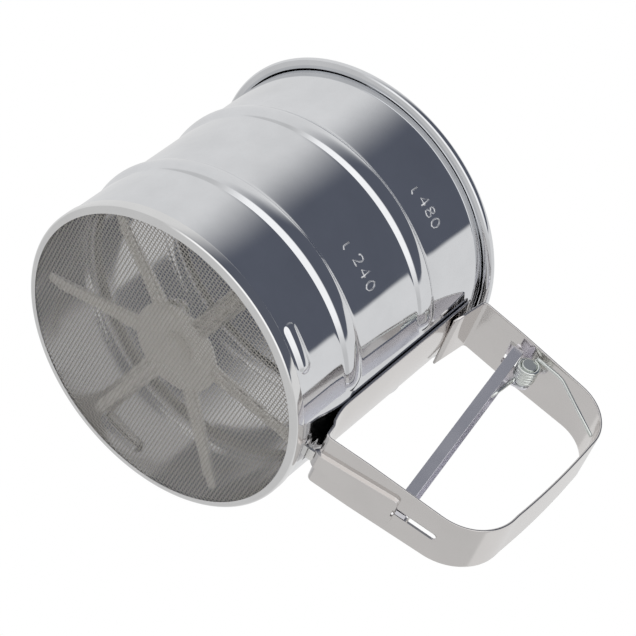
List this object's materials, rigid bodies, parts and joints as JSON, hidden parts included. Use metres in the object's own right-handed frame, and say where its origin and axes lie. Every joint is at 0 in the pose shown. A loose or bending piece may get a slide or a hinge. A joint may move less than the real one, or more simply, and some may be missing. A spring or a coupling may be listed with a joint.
{
  "type": "flour sifter",
  "caption": "One-hand stainless flour sifter: beaded cup with a woven mesh floor, strip handle, and a squeeze trigger that swings a star agitator over the mesh.",
  "frame": {"origin": "centre of the base ring's underside, on the cup's axis", "axes": "+Z along the cup's axis towards its mouth, +X towards the handle"},
  "size_m": [0.162, 0.1064, 0.097],
  "materials": {
    "polished_sheet": "polished stainless",
    "woven_mesh": "woven wire",
    "satin_strip": "satin",
    "handle_steel": "satin",
    "trigger_steel": "dark satin",
    "zinc_wire": "bright zinc"
  },
  "bodies": {
    "cup": {"cup_body": "polished_sheet", "base_ring": "polished_sheet", "mesh_screen": "woven_mesh", "crossbar": "satin_strip", "pivot_rivet": "satin_strip", "pivot_bush": "satin_strip", "pivot_washer": "satin_strip", "handle_strip": "handle_steel"},
    "trigger": {"trigger_bar": "trigger_steel", "spring_rivet": "zinc_wire", "trigger_spring": "zinc_wire"},
    "link": {"drive_link": "satin_strip"},
    "agitator": {"agitator_star": "satin_strip", "crank_pin": "satin_strip", "crank_washer": "satin_strip"}
  },
  "joints": [
    {"name": "trigger_squeeze", "type": "hinge", "parent": "cup", "child": "trigger", "pos_m": [0.0703, 0, 0.09085], "axis": [0, -1, 0], "range_deg": [0, 7], "stiffness_Nm_per_rad": 1.5, "springref_deg": -14.32, "deforming": ["trigger_spring"]},
    {"name": "link_slide", "type": "slide", "parent": "cup", "child": "link", "axis": [0.9919, 0, 0.1271], "range_m": [0, 0.00944]},
    {"name": "agitator_spin", "type": "hinge", "parent": "cup", "child": "agitator", "pos_m": [0, 0, 0], "axis": [0, 0, 1], "range_deg": [0, 50.9]}
  ],
  "couplings": [
    {"joint": "link_slide", "follows": "trigger_squeeze", "m_per_rad": 0.0772},
    {"joint": "agitator_spin", "follows": "trigger_squeeze", "ratio": 7.257}
  ]
}
